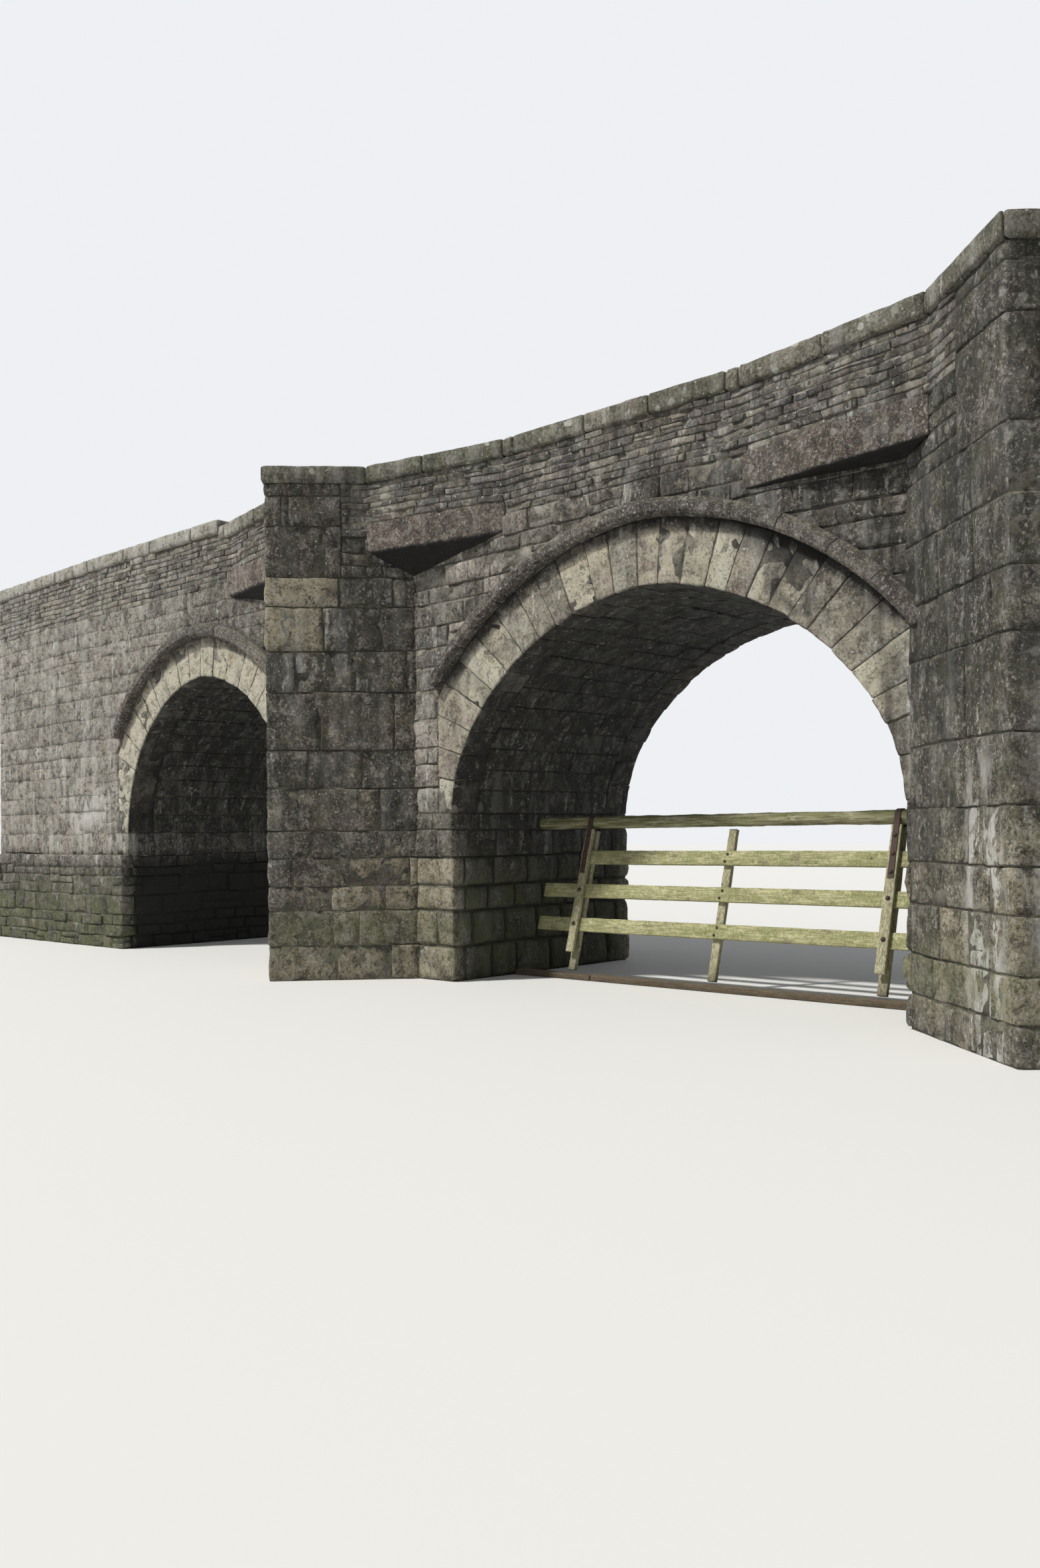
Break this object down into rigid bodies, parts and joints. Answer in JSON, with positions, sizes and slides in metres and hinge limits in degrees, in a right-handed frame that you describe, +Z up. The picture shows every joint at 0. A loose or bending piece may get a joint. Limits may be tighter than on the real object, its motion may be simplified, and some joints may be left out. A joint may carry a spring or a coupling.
{
  "type": "stone arch bridge",
  "caption": "Old granite road bridge with a wide main arch, pointed side arches, triangular cutwaters that open as refuges, and a timber floodgate hung from a log.",
  "frame": {"origin": "middle of the bridge at the bed line, under the crown of the main arch", "axes": "+X along the bridge to the right as seen from upstream, +Y downstream through the arches, +Z up"},
  "size_m": [27.8, 5.737, 5.985],
  "materials": {
    "pier_granite": "coarse dressed granite ashlar, weathered dark with pale streaks",
    "voussoir_granite": "pale dressed granite",
    "wall_rubble": "squared rubble in lime mortar",
    "barrel_granite": "dressed granite with lime streaks",
    "hood_granite": "weathered granite moulding",
    "road_gravel": "packed gravel over rubble fill",
    "corner_granite": "coarse reddish granite",
    "parapet_stone": "thin slaty rubble in pale mortar",
    "coping_granite": "large granite slabs with lichen",
    "log_wood": "weathered round log",
    "sill_wood": "wet brown plank",
    "rail_wood": "rough sawn plank with green algae",
    "post_wood": "rough sawn post",
    "strap_iron": "rusted wrought iron strap"
  },
  "bodies": {
    "bridge": {"left_abutment": "wall_rubble", "right_abutment": "wall_rubble", "left_pier": "pier_granite", "right_pier": "pier_granite", "main_barrel": "barrel_granite", "left_barrel": "barrel_granite", "right_barrel": "barrel_granite", "main_voussoirs": "voussoir_granite", "left_voussoirs": "voussoir_granite", "right_voussoirs": "voussoir_granite", "main_hood_mould": "hood_granite", "left_hood_mould": "hood_granite", "right_hood_mould": "hood_granite", "main_spandrels": "wall_rubble", "left_spandrels": "wall_rubble", "right_spandrels": "wall_rubble", "road_fill": "road_gravel", "left_cutwater_front": "pier_granite", "left_cutwater_back": "pier_granite", "right_cutwater_front": "pier_granite", "right_cutwater_back": "pier_granite", "left_corner_stones": "corner_granite", "right_corner_stones": "corner_granite", "main_parapets": "parapet_stone", "left_parapets": "parapet_stone", "right_parapets": "parapet_stone", "left_refuge_front": "parapet_stone", "left_refuge_back": "parapet_stone", "right_refuge_front": "parapet_stone", "right_refuge_back": "parapet_stone", "straight_copings": "coping_granite", "refuge_copings": "coping_granite", "hanging_log": "log_wood", "sill_beam": "sill_wood"},
    "floodgate": {"gate_top_rail": "rail_wood", "gate_middle_rail": "rail_wood", "gate_bottom_rail": "rail_wood", "gate_left_post": "post_wood", "gate_middle_post": "post_wood", "gate_right_post": "post_wood", "gate_left_batten": "post_wood", "gate_right_batten": "post_wood", "gate_left_strap": "strap_iron", "gate_right_strap": "strap_iron"}
  },
  "joints": [
    {"name": "floodgate_swing", "type": "hinge", "parent": "bridge", "child": "floodgate", "pos_m": [0, -0.03, 1.765], "axis": [-1, 0, 0], "range_deg": [0, 55]}
  ]
}
